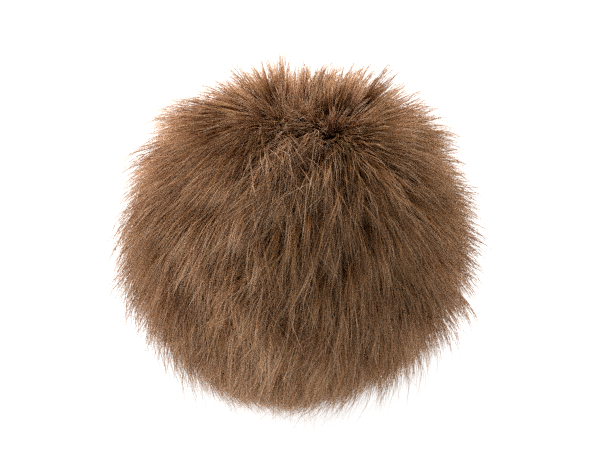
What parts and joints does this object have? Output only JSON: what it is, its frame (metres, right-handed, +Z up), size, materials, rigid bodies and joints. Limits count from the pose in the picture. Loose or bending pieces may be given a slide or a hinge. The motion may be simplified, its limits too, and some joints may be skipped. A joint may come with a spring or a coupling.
{
  "type": "faux fur pom pom",
  "caption": "Round faux-fur pom pom: a ball of long brown pile, parted near the top and combed down in soft locks, resting on a small pressed flat.",
  "frame": {"origin": "middle of the ball's footprint, on the surface that it rests on", "axes": "+Z up; +X to the right and -Y towards the viewer, seen from the front; the parting at the top leans a little towards +X"},
  "size_m": [0.1244, 0.1196, 0.1117],
  "materials": {
    "brown_pile": "long combed faux-fur pile, dark brown at the roots and light tan at the tips"
  },
  "bodies": {
    "root": {"fur_ball": "brown_pile"}
  },
  "joints": []
}
